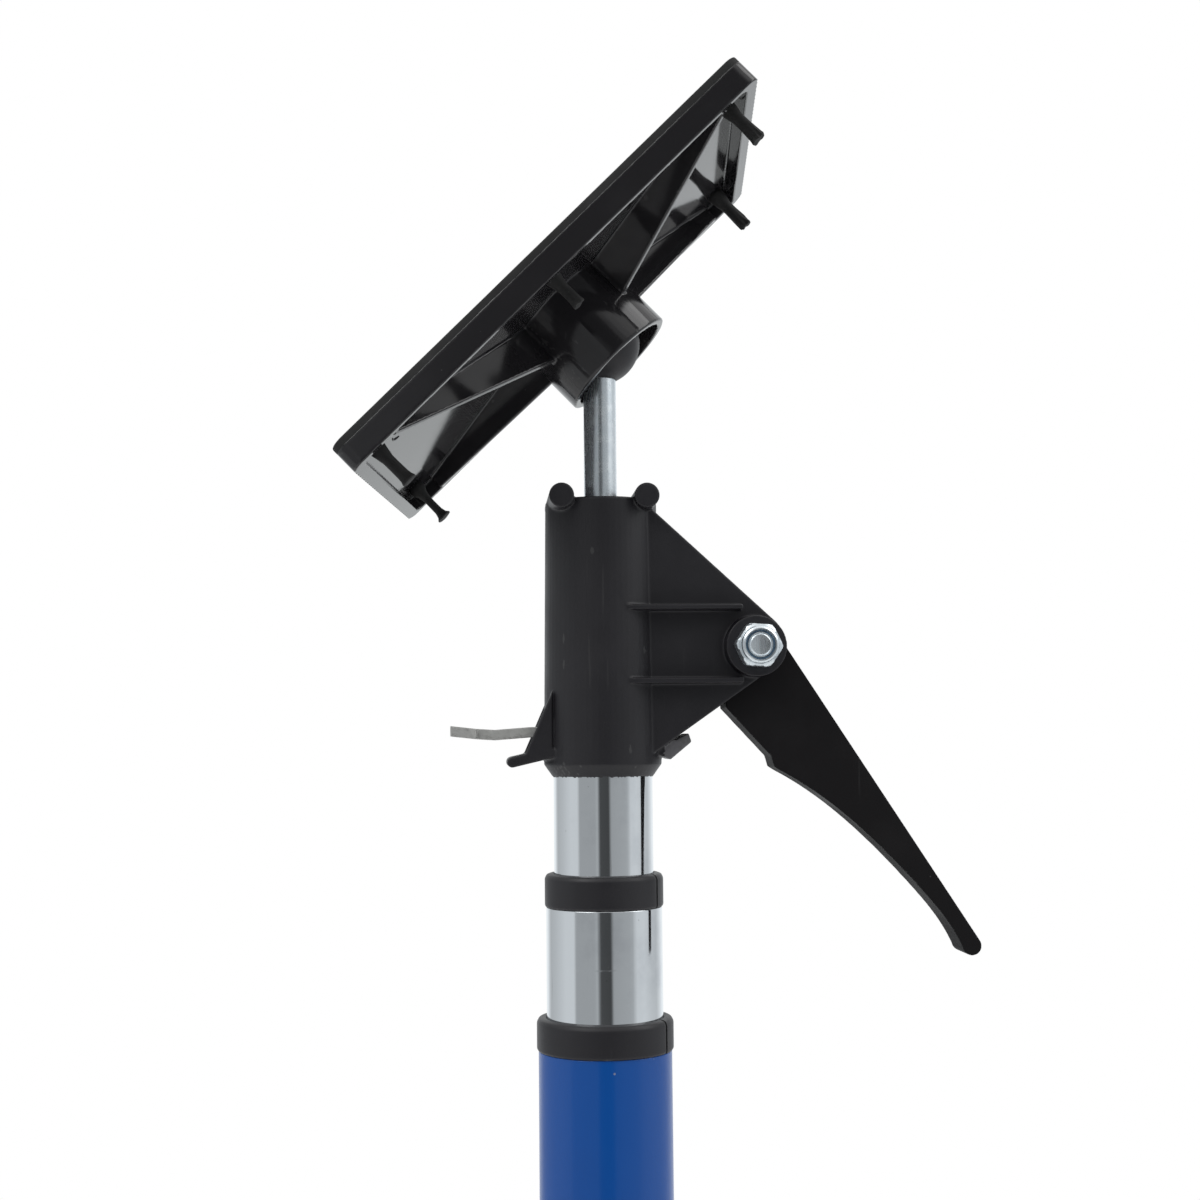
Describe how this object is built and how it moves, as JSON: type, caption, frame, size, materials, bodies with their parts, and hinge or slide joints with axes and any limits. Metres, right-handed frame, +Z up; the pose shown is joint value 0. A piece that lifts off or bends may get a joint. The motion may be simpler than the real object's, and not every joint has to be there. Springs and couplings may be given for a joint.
{
  "type": "telescopic support pole",
  "caption": "Telescopic ceiling support pole: swivelling foot and head plates, nested twist-lock tubes, a pump lever that raises the head rod, and a release tab.",
  "frame": {"origin": "the point on the floor face of the foot's rubber pad that lies on the pole's axis", "axes": "+Z up along the pole, +X towards the side with the pump lever"},
  "size_m": [0.1554, 0.0985, 1.2606],
  "materials": {
    "rubber": "matt black rubber",
    "gloss_black_plastic": "glossy moulded black plastic",
    "satin_black_plastic": "satin moulded black plastic with fine texture",
    "chrome": "bright chrome plating",
    "blue_paint": "glossy blue paint",
    "zinc_steel": "bright zinc plating",
    "plain_steel": "dull galvanised steel",
    "spring_steel": "drawn spring wire",
    "white_nylon": "pale nylon"
  },
  "bodies": {
    "foot": {"base_plate": "gloss_black_plastic", "base_pad": "rubber"},
    "foot_socket": {"base_socket": "satin_black_plastic"},
    "foot_ball": {"base_ball": "satin_black_plastic", "base_stub": "zinc_steel", "base_stub_clip": "spring_steel"},
    "outer_pole": {"outer_tube": "blue_paint", "outer_tube_bush": "satin_black_plastic", "base_plug": "satin_black_plastic"},
    "middle_lock": {"middle_lock_sleeve": "satin_black_plastic"},
    "middle_pole": {"middle_tube": "chrome", "middle_tube_bush": "satin_black_plastic", "middle_lock_plug": "satin_black_plastic", "middle_lock_stud": "zinc_steel"},
    "inner_lock": {"inner_lock_sleeve": "satin_black_plastic"},
    "inner_pole": {"inner_tube": "chrome", "inner_lock_plug": "satin_black_plastic", "inner_lock_stud": "zinc_steel", "pump_housing": "satin_black_plastic", "housing_screw": "zinc_steel", "rod_top_guide": "satin_black_plastic", "rod_lower_guide": "satin_black_plastic", "lever_bolt": "zinc_steel", "lever_nut": "zinc_steel", "lever_nut_insert": "white_nylon", "spring_seat": "plain_steel", "drive_spring": "spring_steel", "brake_spring": "spring_steel"},
    "lever": {"pump_lever": "gloss_black_plastic"},
    "drive": {"drive_plate": "plain_steel"},
    "brake": {"brake_plate": "plain_steel"},
    "rod": {"push_rod": "zinc_steel", "rod_stop_clip": "spring_steel"},
    "head_swivel_ball": {"head_ball": "satin_black_plastic"},
    "head_cup": {"head_socket": "satin_black_plastic"},
    "head": {"head_plate": "gloss_black_plastic", "head_pad": "rubber"}
  },
  "joints": [
    {"name": "foot_spin", "type": "hinge", "parent": "foot", "child": "foot_socket", "pos_m": [0, 0, 0.0174], "axis": [0, 0, 1], "continuous": true},
    {"name": "foot_tilt", "type": "hinge", "parent": "foot_socket", "child": "foot_ball", "pos_m": [0, 0, 0.0174], "axis": [0, 1, 0], "range_deg": [-44, 44]},
    {"name": "pole_spin", "type": "hinge", "parent": "foot_ball", "child": "outer_pole", "pos_m": [0, 0, 0.0174], "axis": [0, 0, 1], "continuous": true},
    {"name": "middle_slide", "type": "slide", "parent": "outer_pole", "child": "middle_lock", "axis": [0, 0, 1], "range_m": [-0.0257, 0.8]},
    {"name": "middle_twist", "type": "hinge", "parent": "middle_lock", "child": "middle_pole", "pos_m": [0, 0, 0.09], "axis": [0, 0, 1], "range_deg": [0, 180]},
    {"name": "inner_slide", "type": "slide", "parent": "middle_pole", "child": "inner_lock", "axis": [0, 0, 1], "range_m": [-0.0226, 0.75]},
    {"name": "inner_twist", "type": "hinge", "parent": "inner_lock", "child": "inner_pole", "pos_m": [0, 0, 0.18], "axis": [0, 0, 1], "range_deg": [0, 180]},
    {"name": "lever_squeeze", "type": "hinge", "parent": "inner_pole", "child": "lever", "pos_m": [0.0362, 0, 1.1295], "axis": [0, 1, 0], "range_deg": [0, 41], "stiffness_Nm_per_rad": 0.6, "springref_deg": -20.05},
    {"name": "drive_lift", "type": "slide", "parent": "inner_pole", "child": "drive", "axis": [0, 0, 1], "range_m": [0, 0.01943], "deforming": ["drive_spring"]},
    {"name": "brake_release", "type": "hinge", "parent": "inner_pole", "child": "brake", "pos_m": [-0.0132, 0, 1.1083], "axis": [0, -1, 0], "range_deg": [0, 6], "stiffness_Nm_per_rad": 0.6, "springref_deg": -8.59, "deforming": ["brake_spring"]},
    {"name": "rod_slide", "type": "slide", "parent": "inner_pole", "child": "rod", "axis": [0, 0, 1], "range_m": [-0.02, 0.1]},
    {"name": "head_swivel", "type": "hinge", "parent": "rod", "child": "head_swivel_ball", "pos_m": [0, 0, 1.205], "axis": [0, 0, 1], "continuous": true},
    {"name": "head_tilt", "type": "hinge", "parent": "head_swivel_ball", "child": "head_cup", "pos_m": [0, 0, 1.205], "axis": [0.1045, 0.9945, 0], "range_deg": [0, 88]},
    {"name": "head_spin", "type": "hinge", "parent": "head_cup", "child": "head", "pos_m": [0, 0, 1.205], "axis": [-0.6909, 0.0726, 0.7193], "continuous": true}
  ],
  "couplings": [
    {"joint": "drive_lift", "follows": "lever_squeeze", "m_per_rad": 0.027015}
  ]
}
